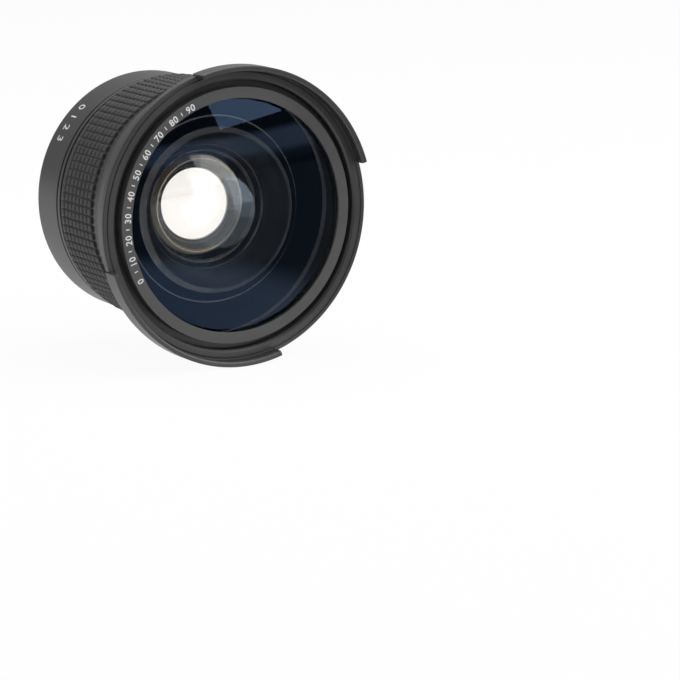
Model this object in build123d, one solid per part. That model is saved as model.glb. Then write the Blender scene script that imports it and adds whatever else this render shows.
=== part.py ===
from build123d import *
import math
import os

# Screw-on wide-angle lens with a removable close-up rear unit, in millimetres.
# The optical axis is the Y axis and the front glass faces -Y. The origin lies on that axis at the
# shoulder that meets the camera lens. A station is a distance forward of that shoulder, so
# station 10 is the plane y = -10, and every outline below is drawn in (radius, station) pairs.

# Lengths along the axis, from the shoulder forwards
rear_ring_length = 14.5
washer_thickness = 0.5
barrel_lip_length = 1.7
grip_length = 18.9
neck_length = 4.6
hood_length = 15.4
name_ring_proud = 0.4
lobe_height = 3.9

# Clearances between pieces
thread_clearance = 0.05
fit_clearance = 0.05
glass_clearance = 0.1
seat_gap = 0.02
end_gap = 0.4
cut_overrun = 1.0

# Front glass, a deep negative meniscus
front_glass_radius = 34.7
front_glass_curve = 160.0
front_land_width = 9.0
front_hollow_ease = 0.4
front_glass_thickness = 3.5

# Name ring and the gasket under it
ring_overlap = 0.8
ring_flange_thickness = 0.9
ring_skirt_wall = 2.3
ring_shoulder_step = 0.1
ring_skirt_length = 5.1
ring_edge_chamfer = 0.15
gasket_thickness = 0.5

# Front barrel
neck_wall = 1.3
grip_recess = 0.5
lip_height = 0.2
collar_wall = 1.9
collar_depth = 3.0
collar_length = 7.0
ledge_width = 2.6
neck_groove_width = 0.5
neck_groove_depth = 0.35
neck_groove_setback = 1.2

# Petal hood
rim_width = 3.9
rim_band_length = 2.1
rim_band_step = 0.3
rim_chamfer = 0.25
rim_inner_chamfer = 0.6
rim_groove_inset = 1.4
rim_groove_width = 0.4
rim_groove_depth = 0.35
hood_rear_wall = 1.25
hood_rear_chamfer = 0.3
lobe_step = 0.5
lobe_wall = 1.6
lobe_root = 0.3
lobe_inner_chamfer = 0.5
lobe_outer_chamfer = 0.2
lobe_angle = 90.0
lobe_start_angles = (17.2, 197.2)

# Rubber grip
grip_thickness = 1.15
grip_rows = 96
pads_per_row = 8
row_groove_width = 0.5
row_groove_depth = 0.5
pad_groove_width = 0.4
pad_groove_depth = 0.3

# Cell with the second glass, which is hollow on both sides
spacer_thickness = 0.9
spacer_step = 0.3
spacer_taper = 1.5
cell_flange_thickness = 2.4
second_centre_thickness = 1.8
second_front_curve = 400.0
second_rear_curve = 60.0
cell_gap = 2.45
cell_wall = 1.6
cell_thread_step = 0.9
cell_floor_thickness = 1.2
cell_floor_width = 2.7
shim_thickness = 0.3
cell_ring_width = 1.9
cell_ring_thickness = 1.2
cell_ring_recess = 0.1

# Ridged light trap inside the barrel
baffle_wall = 0.9
baffle_ridge = 1.2
baffle_ridges = 10
baffle_front_setback = 2.2
baffle_rear_setback = 2.0

# Screw joint between the front barrel and the rear ring
spigot_wall = 1.3
spigot_chamfer = 0.3
thread_pitch = 0.75
thread_depth = 0.35
thread_groove_width = 0.55
washer_inset = 0.4

# Rear ring
rear_wall = 2.4
front_land_length = 1.5
land_groove_width = 0.6
land_groove_depth = 0.4
rear_edge_chamfer = 0.4
rear_fine_chamfer = 0.2

# Rear glasses and what holds them
macro_shoulder_width = 4.95
macro_rear_edge = 1.3
macro_rear_curve = 150.0
macro_spacer_thickness = 1.3
macro_spacer_width = 1.2
macro_front_edge = 1.6
macro_front_curve = 75.0
macro_back_curve = 400.0
macro_seat_width = 1.3
macro_thread_step = 1.0
macro_ring_thickness = 0.98
web_thickness = 1.2
rear_gasket_thickness = 0.4

# Mount collar with the 52 mm camera thread
camera_thread_radius = 26.0
camera_thread_length = 3.5
camera_thread_chamfer = 0.4
camera_thread_wall = 1.6
collar_flange_thickness = 2.0
collar_flange_width = 3.0

# Spanner slots in the two inner retaining rings
slot_count = 2
slot_width = 1.6
slot_depth = 0.7

OPTICAL_AXIS = Axis((0, 0, 0), (0, -1, 0))
FULL_TURN = 360.0


def bulge(curve, radius):
    """How far a spherical surface has fallen back at a radius from the axis."""
    return curve - math.sqrt(curve**2 - radius**2)


# Stations of the outer pieces
at_washer = rear_ring_length
at_barrel = at_washer + washer_thickness
at_grip = at_barrel + barrel_lip_length
at_neck = at_grip + grip_length
at_hood = at_neck + neck_length
at_rim = at_hood + hood_length
at_face = at_rim + name_ring_proud
at_lobe = at_rim + lobe_height
at_collar_front = at_face - collar_depth
at_collar_rear = at_collar_front - collar_length

# Radii of the front unit, from the glass outwards
front_hollow_radius = front_glass_radius - front_land_width
front_hollow_curve = front_hollow_radius + front_hollow_ease
spacer_inner_radius = front_hollow_radius + spacer_step
name_ring_inner = front_glass_radius - ring_overlap
gasket_inner = name_ring_inner + fit_clearance
barrel_bore = front_glass_radius + glass_clearance
skirt_outer = barrel_bore + ring_skirt_wall
name_ring_outer = skirt_outer + ring_shoulder_step
collar_inner = skirt_outer + thread_clearance
collar_outer = collar_inner + collar_wall
hood_bore = collar_outer + fit_clearance
rim_outer = hood_bore + rim_width
lobe_outer = rim_outer + lobe_step
neck_outer = barrel_bore + neck_wall
hood_neck_bore = neck_outer + fit_clearance
hood_rear_outer = hood_neck_bore + hood_rear_wall
grip_seat = neck_outer - grip_recess
grip_inner = grip_seat + fit_clearance
grip_outer = grip_inner + grip_thickness
lip_outer = grip_seat + lip_height
barrel_rear_bore = barrel_bore - ledge_width
spigot_outer = barrel_rear_bore + spigot_wall

# Radii inside the barrel, from the light trap inwards
baffle_outer = barrel_rear_bore - fit_clearance
baffle_valley = baffle_outer - baffle_wall
cell_outer = baffle_valley - baffle_ridge - cell_gap
cell_thread_bore = cell_outer - cell_wall
cell_bore = cell_thread_bore - cell_thread_step
cell_floor_radius = cell_bore - cell_floor_width
cell_ring_outer = cell_thread_bore - thread_clearance
cell_ring_inner = cell_ring_outer - cell_ring_width
second_glass_radius = cell_bore - glass_clearance
second_front_rise = bulge(second_front_curve, second_glass_radius)
second_rear_fall = bulge(second_rear_curve, second_glass_radius)

# Stations of the front glass and of what is stacked behind it
at_gasket_front = at_face - ring_flange_thickness
at_gasket_rear = at_gasket_front - gasket_thickness
at_skirt_rear = at_gasket_front - ring_skirt_length
at_front_vertex = at_gasket_rear - seat_gap + bulge(front_glass_curve, gasket_inner)
at_hollow_vertex = at_front_vertex - front_glass_thickness
at_glass_seat = at_hollow_vertex - bulge(front_hollow_curve, front_hollow_radius)
at_cell_flange = at_glass_seat - spacer_thickness
at_ledge = at_cell_flange - cell_flange_thickness
at_cell_ring = at_cell_flange - cell_ring_recess
at_cell_step = at_cell_ring - cell_ring_thickness
at_second_vertex = at_cell_step - seat_gap - second_front_rise
at_second_hollow = at_second_vertex - second_centre_thickness
at_second_rear = at_second_hollow - second_rear_fall
at_cell_floor = at_second_rear - shim_thickness
at_cell_rear = at_cell_floor - cell_floor_thickness

# Radii of the rear unit
spigot_socket = spigot_outer + thread_clearance
rear_ring_outer = spigot_socket + rear_wall
macro_thread_bore = spigot_socket - macro_shoulder_width
macro_bore = macro_thread_bore - macro_thread_step
macro_glass_radius = macro_bore - glass_clearance
macro_seat_bore = macro_bore - macro_seat_width
macro_ring_outer = macro_thread_bore - thread_clearance
macro_spacer_inner = macro_glass_radius - macro_spacer_width
camera_bore = camera_thread_radius - camera_thread_wall
collar_flange_outer = camera_thread_radius + collar_flange_width
flange_socket = collar_flange_outer + fit_clearance

# Stations of the rear unit
at_web_front = collar_flange_thickness + web_thickness
at_rear_gasket_front = at_web_front + rear_gasket_thickness
rear_edge_rise = bulge(macro_rear_curve, macro_glass_radius) - bulge(macro_rear_curve, macro_seat_bore)
at_macro_rear = at_rear_gasket_front + rear_edge_rise + seat_gap
at_macro_spacer = at_macro_rear + macro_rear_edge
at_spacer_front = at_macro_spacer + macro_spacer_thickness
back_edge_rise = bulge(macro_back_curve, macro_glass_radius) - bulge(macro_back_curve, macro_spacer_inner)
at_macro_front = at_spacer_front + back_edge_rise + seat_gap
at_macro_edge = at_macro_front + macro_front_edge
at_macro_vertex = at_macro_edge + bulge(macro_front_curve, macro_glass_radius)
at_macro_ring = at_macro_vertex - bulge(macro_front_curve, macro_seat_bore) + seat_gap
at_floor = at_macro_ring + macro_ring_thickness
at_spigot_end = at_floor + end_gap


def turned(points, arc=FULL_TURN):
    """A piece turned about the optical axis from its outline."""
    outline = Polyline(*[(radius, -station) for radius, station in points], close=True)
    return revolve(make_face(outline), axis=OPTICAL_AXIS, revolution_arc=arc)


def plain_ring(inner, outer, rear, front):
    """A ring of rectangular section between two radii and two stations."""
    return turned([(inner, rear), (outer, rear), (outer, front), (inner, front)])


def surface(vertex, curve, radius, side):
    """A glass surface from the axis out to a radius, as an arc in the outline plane.

    side is -1 where the surface falls back towards its edge and +1 where it reaches forward.
    """
    half = radius / 2
    middle = (half, -vertex - side * bulge(curve, half))
    edge = (radius, -vertex - side * bulge(curve, radius))
    return ThreePointArc((0, -vertex), middle, edge)


def glass(front, rear, edge_radius):
    """A lens element from its two surfaces, with a ground cylindrical edge."""
    rear_edge = rear @ 1
    edge_points = [front @ 1, (edge_radius, rear_edge.Y)]
    if rear_edge.X < edge_radius:
        edge_points.append(rear_edge)
    edge = Polyline(*edge_points)
    axis_line = Line(front @ 0, rear @ 0)
    outline = front.edges() + edge.edges() + rear.edges() + axis_line.edges()
    return revolve(make_face(outline), axis=OPTICAL_AXIS)


def spanner_slots(inner, outer, front):
    """Slots across the front face of a retaining ring, evenly spaced round it."""
    slots = []
    for index in range(slot_count):
        block = Box(outer - inner + 2 * cut_overrun, 2 * slot_depth, slot_width)
        placed = Pos((inner + outer) / 2, -front, 0) * block
        slots.append(placed.rotate(OPTICAL_AXIS, index * FULL_TURN / slot_count))
    return slots


def petal_hood():
    groove_outer = rim_outer - rim_groove_inset + rim_groove_width / 2
    groove_inner = groove_outer - rim_groove_width
    band_rear = at_rim - rim_band_length
    hood = turned([
        (hood_neck_bore, at_hood),
        (hood_rear_outer - hood_rear_chamfer, at_hood),
        (hood_rear_outer, at_hood + hood_rear_chamfer),
        (rim_outer - rim_band_step, band_rear),
        (rim_outer, band_rear),
        (rim_outer, at_rim - rim_chamfer),
        (rim_outer - rim_chamfer, at_rim),
        (groove_outer, at_rim),
        (groove_outer, at_rim - rim_groove_depth),
        (groove_inner, at_rim - rim_groove_depth),
        (groove_inner, at_rim),
        (hood_bore + rim_inner_chamfer, at_rim),
        (hood_bore, at_rim - rim_inner_chamfer),
        (hood_bore, at_collar_rear),
        (hood_neck_bore, at_collar_rear),
    ])
    lobe_inner = lobe_outer - lobe_wall
    lobe = turned([
        (lobe_inner, at_rim - lobe_root),
        (rim_outer - lobe_root, band_rear),
        (lobe_outer, band_rear),
        (lobe_outer, at_lobe - lobe_outer_chamfer),
        (lobe_outer - lobe_outer_chamfer, at_lobe),
        (lobe_inner + lobe_inner_chamfer, at_lobe),
        (lobe_inner, at_lobe - lobe_inner_chamfer),
    ], arc=lobe_angle)
    for start_angle in lobe_start_angles:
        hood = hood + lobe.rotate(OPTICAL_AXIS, start_angle)
    return hood


def name_ring():
    return turned([
        (name_ring_inner, at_gasket_front),
        (barrel_bore, at_gasket_front),
        (barrel_bore, at_skirt_rear),
        (skirt_outer, at_skirt_rear),
        (skirt_outer, at_collar_front),
        (name_ring_outer, at_collar_front),
        (name_ring_outer, at_face - ring_edge_chamfer),
        (name_ring_outer - ring_edge_chamfer, at_face),
        (name_ring_inner + ring_edge_chamfer, at_face),
        (name_ring_inner, at_face - ring_edge_chamfer),
    ])


def front_barrel():
    groove_front = at_hood - neck_groove_setback
    groove_rear = groove_front - neck_groove_width
    points = [
        (barrel_rear_bore, at_spigot_end),
        (spigot_outer - spigot_chamfer, at_spigot_end),
        (spigot_outer, at_spigot_end + spigot_chamfer),
    ]
    thread_grooves = int((at_washer - at_spigot_end - spigot_chamfer) / thread_pitch)
    for turn in range(thread_grooves):
        start = at_spigot_end + spigot_chamfer + turn * thread_pitch
        crest = start + thread_pitch - thread_groove_width
        points.append((spigot_outer, crest))
        points.append((spigot_outer - thread_depth, crest + thread_groove_width / 2))
        points.append((spigot_outer, crest + thread_groove_width))
    points += [
        (spigot_outer, at_barrel),
        (lip_outer, at_barrel),
        (lip_outer, at_grip),
        (grip_seat, at_grip),
        (grip_seat, at_neck),
        (neck_outer, at_neck),
        (neck_outer, groove_rear),
        (neck_outer - neck_groove_depth, groove_rear),
        (neck_outer - neck_groove_depth, groove_front),
        (neck_outer, groove_front),
        (neck_outer, at_collar_rear),
        (collar_outer, at_collar_rear),
        (collar_outer, at_collar_front),
        (collar_inner, at_collar_front),
        (collar_inner, at_skirt_rear - end_gap),
        (barrel_bore, at_skirt_rear - end_gap),
        (barrel_bore, at_ledge),
        (barrel_rear_bore, at_ledge),
    ]
    return turned(points)


def rubber_grip():
    pad_pitch = grip_length / pads_per_row
    floor = grip_outer - pad_groove_depth
    points = [(grip_inner, at_grip), (grip_outer, at_grip)]
    for index in range(1, pads_per_row):
        middle = at_grip + index * pad_pitch
        points.append((grip_outer, middle - pad_groove_width / 2))
        points.append((floor, middle - pad_groove_width / 2))
        points.append((floor, middle + pad_groove_width / 2))
        points.append((grip_outer, middle + pad_groove_width / 2))
    points += [(grip_outer, at_neck), (grip_inner, at_neck)]
    sleeve = turned(points)
    cutter = Box(2 * row_groove_depth, grip_length + 2 * cut_overrun, row_groove_width)
    cutter = Pos(grip_outer, -(at_grip + at_neck) / 2, 0) * cutter
    cuts = [cutter.rotate(OPTICAL_AXIS, row * FULL_TURN / grip_rows) for row in range(grip_rows)]
    return sleeve - cuts


def front_gasket():
    return plain_ring(gasket_inner, front_glass_radius, at_gasket_rear, at_gasket_front)


def front_element():
    front = surface(at_front_vertex, front_glass_curve, front_glass_radius, -1)
    rear = surface(at_hollow_vertex, front_hollow_curve, front_hollow_radius, -1)
    return glass(front, rear, front_glass_radius)


def front_spacer():
    return turned([
        (spacer_inner_radius, at_glass_seat),
        (front_glass_radius, at_glass_seat),
        (front_glass_radius, at_cell_flange),
        (spacer_inner_radius + spacer_taper, at_cell_flange),
    ])


def inner_cell():
    return turned([
        (cell_floor_radius, at_cell_rear),
        (cell_outer, at_cell_rear),
        (cell_outer, at_ledge),
        (front_glass_radius, at_ledge),
        (front_glass_radius, at_cell_flange),
        (cell_thread_bore, at_cell_flange),
        (cell_thread_bore, at_cell_step),
        (cell_bore, at_cell_step),
        (cell_bore, at_cell_floor),
        (cell_floor_radius, at_cell_floor),
    ])


def cell_shim():
    return plain_ring(cell_floor_radius, second_glass_radius, at_cell_floor, at_second_rear)


def second_element():
    front = surface(at_second_vertex, second_front_curve, second_glass_radius, 1)
    rear = surface(at_second_hollow, second_rear_curve, second_glass_radius, -1)
    return glass(front, rear, second_glass_radius)


def cell_retaining_ring():
    blank = plain_ring(cell_ring_inner, cell_ring_outer, at_cell_step, at_cell_ring)
    return blank - spanner_slots(cell_ring_inner, cell_ring_outer, at_cell_ring)


def ridged_baffle():
    rear = at_spigot_end + baffle_rear_setback
    front = at_ledge - baffle_front_setback
    pitch = (front - rear) / baffle_ridges
    points = [(baffle_outer, rear), (baffle_outer, front), (baffle_valley, front)]
    for ridge in range(baffle_ridges):
        station = front - ridge * pitch
        points.append((baffle_valley - baffle_ridge, station - pitch / 2))
        points.append((baffle_valley, station - pitch))
    return turned(points)


def seam_washer():
    return plain_ring(spigot_socket, rear_ring_outer - washer_inset, at_washer, at_barrel)


def rear_ring():
    groove_front = at_washer - front_land_length
    groove_rear = groove_front - land_groove_width
    groove_floor = rear_ring_outer - land_groove_depth
    return turned([
        (flange_socket, 0),
        (rear_ring_outer - rear_edge_chamfer, 0),
        (rear_ring_outer, rear_edge_chamfer),
        (rear_ring_outer, groove_rear - rear_fine_chamfer),
        (rear_ring_outer - rear_fine_chamfer, groove_rear),
        (groove_floor, groove_rear),
        (groove_floor, groove_front),
        (rear_ring_outer, groove_front),
        (rear_ring_outer, at_washer - rear_fine_chamfer),
        (rear_ring_outer - rear_fine_chamfer, at_washer),
        (spigot_socket, at_washer),
        (spigot_socket, at_floor),
        (macro_thread_bore, at_floor),
        (macro_thread_bore, at_macro_ring),
        (macro_bore, at_macro_ring),
        (macro_bore, at_web_front),
        (macro_seat_bore, at_web_front),
        (macro_seat_bore, collar_flange_thickness),
        (flange_socket, collar_flange_thickness),
    ])


def macro_retaining_ring():
    blank = plain_ring(macro_seat_bore, macro_ring_outer, at_macro_ring, at_floor)
    return blank - spanner_slots(macro_seat_bore, macro_ring_outer, at_floor)


def macro_front_element():
    rear_vertex = at_macro_front - bulge(macro_back_curve, macro_glass_radius)
    front = surface(at_macro_vertex, macro_front_curve, macro_glass_radius, -1)
    rear = surface(rear_vertex, macro_back_curve, macro_glass_radius, 1)
    return glass(front, rear, macro_glass_radius)


def macro_spacer():
    return plain_ring(macro_spacer_inner, macro_glass_radius, at_macro_spacer, at_spacer_front)


def macro_rear_element():
    rear_vertex = at_macro_rear - bulge(macro_rear_curve, macro_glass_radius)
    front = Line((0, -at_macro_spacer), (macro_glass_radius, -at_macro_spacer))
    rear = surface(rear_vertex, macro_rear_curve, macro_glass_radius, 1)
    return glass(front, rear, macro_glass_radius)


def rear_gasket():
    return plain_ring(macro_seat_bore, macro_glass_radius, at_web_front, at_rear_gasket_front)


def mount_collar():
    return turned([
        (camera_bore, -camera_thread_length),
        (camera_thread_radius - camera_thread_chamfer, -camera_thread_length),
        (camera_thread_radius, camera_thread_chamfer - camera_thread_length),
        (camera_thread_radius, 0),
        (collar_flange_outer, 0),
        (collar_flange_outer, collar_flange_thickness),
        (camera_bore, collar_flange_thickness),
    ])


PIECES = (
    petal_hood,
    front_barrel,
    rubber_grip,
    name_ring,
    front_gasket,
    front_element,
    front_spacer,
    inner_cell,
    cell_shim,
    second_element,
    cell_retaining_ring,
    ridged_baffle,
    seam_washer,
    rear_ring,
    macro_retaining_ring,
    macro_front_element,
    macro_spacer,
    macro_rear_element,
    rear_gasket,
    mount_collar,
)

os.makedirs("parts", exist_ok=True)
for make_piece in PIECES:
    export_step(make_piece(), f"parts/{make_piece.__name__}.step")
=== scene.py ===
import math

import bmesh
import bpy
import numpy as np
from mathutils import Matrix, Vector


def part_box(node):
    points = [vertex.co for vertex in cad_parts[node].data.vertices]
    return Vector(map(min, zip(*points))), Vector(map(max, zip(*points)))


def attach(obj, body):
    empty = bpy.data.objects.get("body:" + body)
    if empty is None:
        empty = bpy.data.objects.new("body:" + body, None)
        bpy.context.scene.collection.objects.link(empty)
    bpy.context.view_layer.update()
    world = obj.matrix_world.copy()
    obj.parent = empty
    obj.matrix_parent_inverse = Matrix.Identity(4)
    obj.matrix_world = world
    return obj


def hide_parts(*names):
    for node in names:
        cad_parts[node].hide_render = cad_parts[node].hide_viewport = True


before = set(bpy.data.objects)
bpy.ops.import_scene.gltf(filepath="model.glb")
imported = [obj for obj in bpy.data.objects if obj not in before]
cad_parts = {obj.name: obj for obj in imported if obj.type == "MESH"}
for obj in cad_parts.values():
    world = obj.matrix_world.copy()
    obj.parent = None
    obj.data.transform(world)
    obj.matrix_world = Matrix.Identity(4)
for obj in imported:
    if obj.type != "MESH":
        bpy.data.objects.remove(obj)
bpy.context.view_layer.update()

# The looks of a screw-on fisheye lens, in metres. The optical axis is the Y axis and the front faces -Y.
# A station is a distance forward of the rear shoulder, so a point of an outline is (radius, station).

MM = 0.001

# Segments of a whole turn, and the bodies that the pieces ride on
SEGMENTS = 288
FRONT = "front_unit"
REAR = "rear_unit"

# Camera, from a ring fit to the photograph: where the name ring's centre lies in the 680 pixel frame,
# its depth along the view, and the view's angles in degrees
FRAME_PIXELS = 680.0
RING_PIXEL_X = 237.3
RING_PIXEL_Y = 216.0
RING_DEPTH = 0.9738
VIEW_AZIMUTH = -31.12
VIEW_ELEVATION = 11.69
SENSOR_MM = 36.0
LENS_MM = 180.0
CLIP_START = 0.01
CLIP_END = 50.0

# Outer sizes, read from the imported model
hood_low, hood_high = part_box("petal_hood")
ring_low, ring_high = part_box("name_ring")
grip_low, grip_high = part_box("rubber_grip")
collar_low, collar_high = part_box("mount_collar")
rear_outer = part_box("rear_ring")[1].x
ring_outer = ring_high.x
at_face = -ring_low.y
at_lobe = -hood_low.y
grip_rear = -grip_high.y
grip_front = -grip_low.y

WHITE = (1.0, 1.0, 1.0, 1.0)


# Node helpers

def new_material(name):
    """An empty node material, its node tree and its Principled shader."""
    material = bpy.data.materials.new(name)
    material.use_nodes = True
    tree = material.node_tree
    tree.nodes.clear()
    output = tree.nodes.new("ShaderNodeOutputMaterial")
    shader = tree.nodes.new("ShaderNodeBsdfPrincipled")
    tree.links.new(shader.outputs["BSDF"], output.inputs["Surface"])
    return material, tree, shader


def add(tree, kind, **settings):
    """A node, with its properties set and its inputs set or linked by name or number."""
    made = tree.nodes.new(kind)
    inputs = settings.pop("inputs", {})
    for key, value in settings.items():
        setattr(made, key, value)
    for key, value in inputs.items():
        join(tree, value, made.inputs[key])
    return made


def join(tree, value, socket):
    """Links an output to an input socket, or sets the input to a plain value."""
    if isinstance(value, bpy.types.NodeSocket):
        tree.links.new(value, socket)
    else:
        socket.default_value = value


def maths(tree, operation, first, second=0.0):
    return add(tree, "ShaderNodeMath", operation=operation, inputs={0: first, 1: second}).outputs[0]


def vector_maths(tree, operation, first, second, output="Vector"):
    made = add(tree, "ShaderNodeVectorMath", operation=operation, inputs={0: first, 1: second})
    return made.outputs[output]


def weighted(tree, first, first_weight, second, second_weight):
    """The sum of two values, each times its weight."""
    return maths(tree, "ADD", maths(tree, "MULTIPLY", first, first_weight),
                 maths(tree, "MULTIPLY", second, second_weight))


def map_range(tree, value, low, high, to_low, to_high, kind="LINEAR"):
    """A value moved from one range to another, and held inside it."""
    return add(tree, "ShaderNodeMapRange", interpolation_type=kind, inputs={
        "Value": value, "From Min": low, "From Max": high, "To Min": to_low, "To Max": to_high}).outputs[0]


def mix_shader(tree, factor, first, second):
    return add(tree, "ShaderNodeMixShader", inputs={0: factor, 1: first, 2: second}).outputs[0]


def ramp(tree, factor, stops):
    """A colour ramp from (position, grey or colour) stops."""
    made = add(tree, "ShaderNodeValToRGB", inputs={"Fac": factor})
    elements = made.color_ramp.elements
    while len(elements) < len(stops):
        elements.new(0.5)
    for element, (position, colour) in zip(elements, stops):
        element.position = position
        element.color = (*colour, 1.0) if isinstance(colour, tuple) else (colour, colour, colour, 1.0)
    return made.outputs["Color"]


def noise(tree, vector, scale=1.0, detail=3.0, roughness=0.6):
    made = add(tree, "ShaderNodeTexNoise", inputs={
        "Vector": vector, "Scale": scale, "Detail": detail, "Roughness": roughness})
    return made.outputs["Fac"]


def object_point(tree):
    return add(tree, "ShaderNodeTexCoord").outputs["Object"]


def turned_point(tree, along_scale, round_scale=1.0):
    """Object space unrolled round the optical axis, so that a texture can run along the turning marks."""
    x, y, z = add(tree, "ShaderNodeSeparateXYZ", inputs={"Vector": object_point(tree)}).outputs
    squares = maths(tree, "ADD", maths(tree, "MULTIPLY", x, x), maths(tree, "MULTIPLY", z, z))
    radius = maths(tree, "SQRT", squares)
    profile = maths(tree, "ADD", radius, maths(tree, "MULTIPLY", y, MARKS_SLANT))
    return add(tree, "ShaderNodeCombineXYZ", inputs={
        "X": maths(tree, "MULTIPLY", maths(tree, "DIVIDE", x, radius), round_scale),
        "Y": maths(tree, "MULTIPLY", maths(tree, "DIVIDE", z, radius), round_scale),
        "Z": maths(tree, "MULTIPLY", profile, along_scale)}).outputs[0]


def bump(tree, shader, height, strength, distance):
    made = add(tree, "ShaderNodeBump", inputs={
        "Height": height, "Strength": strength, "Distance": distance})
    tree.links.new(made.outputs["Normal"], shader.inputs["Normal"])


# Scales of the textures in cells per metre, and the heights of their relief. The slant makes turning marks
# change along the axis as well as along the radius.
TURNING_MARKS = 9000.0
PAINT_MARKS = 7000.0
BRASS_MARKS = 5000.0
MARKS_SLANT = 1.37
BLAST_GRAIN = 5200.0
SHEEN_PATCHES = 55.0
PAINT_PATCHES = 150.0
RUBBER_SKIN = 4200.0
RUBBER_PATCHES = 240.0
INK_SPECKS = 3000.0
METAL_RELIEF = 0.02 * MM
RUBBER_RELIEF = 0.05 * MM

# Most of a noise's values lie between these two
NOISE_LOW = 0.3
NOISE_HIGH = 0.7

# Shares of a grey in the darker and lighter patches, and how far the roughness of anodising strays
DARK_SHARES = (0.80, 0.80, 0.82)
LIGHT_SHARES = (1.22, 1.22, 1.24)
PAINT_DARK_SHARE = 0.7
PAINT_LIGHT_SHARE = 1.3
SMOOTHER_BY = 0.05
ROUGHER_BY = 0.06

RUBBER_DARK = (0.028, 0.028, 0.0285)
RUBBER_LIGHT = (0.058, 0.058, 0.059)
BRASS_DARK = (0.45, 0.32, 0.12)
BRASS_LIGHT = (0.62, 0.47, 0.2)

# Refractive indices
ANODISED_IOR = 1.6
RUBBER_IOR = 1.52
CROWN_IOR = 1.52
FLINT_IOR = 1.7


# Materials

def anodised(name, grey, roughness, grain):
    """Black anodised aluminium: faint turning lines, a fine bead-blast grain and slow changes of sheen."""
    material, tree, shader = new_material(name)
    point = object_point(tree)
    lines = noise(tree, turned_point(tree, TURNING_MARKS, round_scale=1.2))
    grains = noise(tree, point, BLAST_GRAIN, detail=2.0)
    slow = noise(tree, point, SHEEN_PATCHES, roughness=0.55)
    dark = tuple(grey * share for share in DARK_SHARES)
    light = tuple(grey * share for share in LIGHT_SHARES)
    colour = ramp(tree, weighted(tree, slow, 0.6, lines, 0.4), [(NOISE_LOW, dark), (NOISE_HIGH, light)])
    join(tree, colour, shader.inputs["Base Color"])
    sheen = weighted(tree, grains, 0.5, slow, 0.5)
    rough = map_range(tree, sheen, NOISE_LOW, NOISE_HIGH, roughness - SMOOTHER_BY, roughness + ROUGHER_BY)
    join(tree, rough, shader.inputs["Roughness"])
    shader.inputs["IOR"].default_value = ANODISED_IOR
    bump(tree, shader, weighted(tree, grains, grain, lines, 0.5), strength=0.35, distance=METAL_RELIEF)
    return material


def rubber():
    """Moulded black rubber: matte, mottled, with a fine skin texture."""
    material, tree, shader = new_material("grip_rubber")
    point = object_point(tree)
    skin = noise(tree, point, RUBBER_SKIN, detail=4.0, roughness=0.65)
    slow = noise(tree, point, RUBBER_PATCHES)
    mottle = weighted(tree, skin, 0.45, slow, 0.55)
    colour = ramp(tree, mottle, [(0.32, RUBBER_DARK), (NOISE_HIGH, RUBBER_LIGHT)])
    join(tree, colour, shader.inputs["Base Color"])
    rough = map_range(tree, mottle, NOISE_LOW, NOISE_HIGH, 0.5, 0.66)
    join(tree, rough, shader.inputs["Roughness"])
    shader.inputs["IOR"].default_value = RUBBER_IOR
    bump(tree, shader, skin, strength=0.5, distance=RUBBER_RELIEF)
    return material


def matt(name, grey, roughness):
    """Blackened inner metal, paint or ground glass: flat, with faint turning lines."""
    material, tree, shader = new_material(name)
    lines = noise(tree, turned_point(tree, PAINT_MARKS), detail=2.0, roughness=0.5)
    slow = noise(tree, object_point(tree), PAINT_PATCHES)
    tone = weighted(tree, slow, 0.5, lines, 0.5)
    colour = ramp(tree, tone, [(NOISE_LOW, grey * PAINT_DARK_SHARE), (NOISE_HIGH, grey * PAINT_LIGHT_SHARE)])
    join(tree, colour, shader.inputs["Base Color"])
    shader.inputs["Roughness"].default_value = roughness
    bump(tree, shader, lines, strength=0.3, distance=METAL_RELIEF)
    return material


def glass(name, ior, level, tint):
    """Polished optical glass. The level and tint are the strength and colour of what its coating mirrors.

    The level is that of the shader: 0.5 is plain glass of the given index.
    """
    material, tree, shader = new_material(name)
    shader.inputs["Roughness"].default_value = 0.0
    shader.inputs["Base Color"].default_value = WHITE
    shader.inputs["Transmission Weight"].default_value = 1.0
    shader.inputs["IOR"].default_value = ior
    shader.inputs["Specular IOR Level"].default_value = level
    shader.inputs["Specular Tint"].default_value = (*tint, 1.0)
    return material


def ink():
    """White screen-printed ink, a little uneven."""
    material, tree, shader = new_material("white_ink")
    specks = noise(tree, object_point(tree), INK_SPECKS)
    join(tree, ramp(tree, specks, [(NOISE_LOW, 0.62), (0.6, 0.84)]), shader.inputs["Base Color"])
    shader.inputs["Roughness"].default_value = 0.6
    return material


def brass():
    """Rolled brass with faint turning lines."""
    material, tree, shader = new_material("shim_brass")
    lines = noise(tree, turned_point(tree, BRASS_MARKS))
    colour = ramp(tree, lines, [(NOISE_LOW, BRASS_DARK), (NOISE_HIGH, BRASS_LIGHT)])
    join(tree, colour, shader.inputs["Base Color"])
    shader.inputs["Metallic"].default_value = 1.0
    shader.inputs["Roughness"].default_value = 0.35
    return material


# Mesh helpers

# In degrees: a whole turn, the creases at which shading breaks, and the angle from which edges are bevelled
FULL_TURN = 360.0
LENS_CREASE = 30.0
TURNED_CREASE = 32.0
PAD_CREASE = 60.0
BEVEL_FROM = 28.0

# Rounded corners: steps of each, how much of a side one may use, and the half angles that are rounded
ROUND_STEPS = 3
ROUND_SIDE_SHARE = 0.45
SHARPEST_HALF_ANGLE = math.radians(5.0)
FLATTEST_HALF_ANGLE = math.radians(84.0)

# A lens surface: its steps from the axis out, and the ways it can curve towards the edge
SURFACE_STEPS = 40
FALLS_BACK = -1
REACHES_FORWARD = 1

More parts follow.
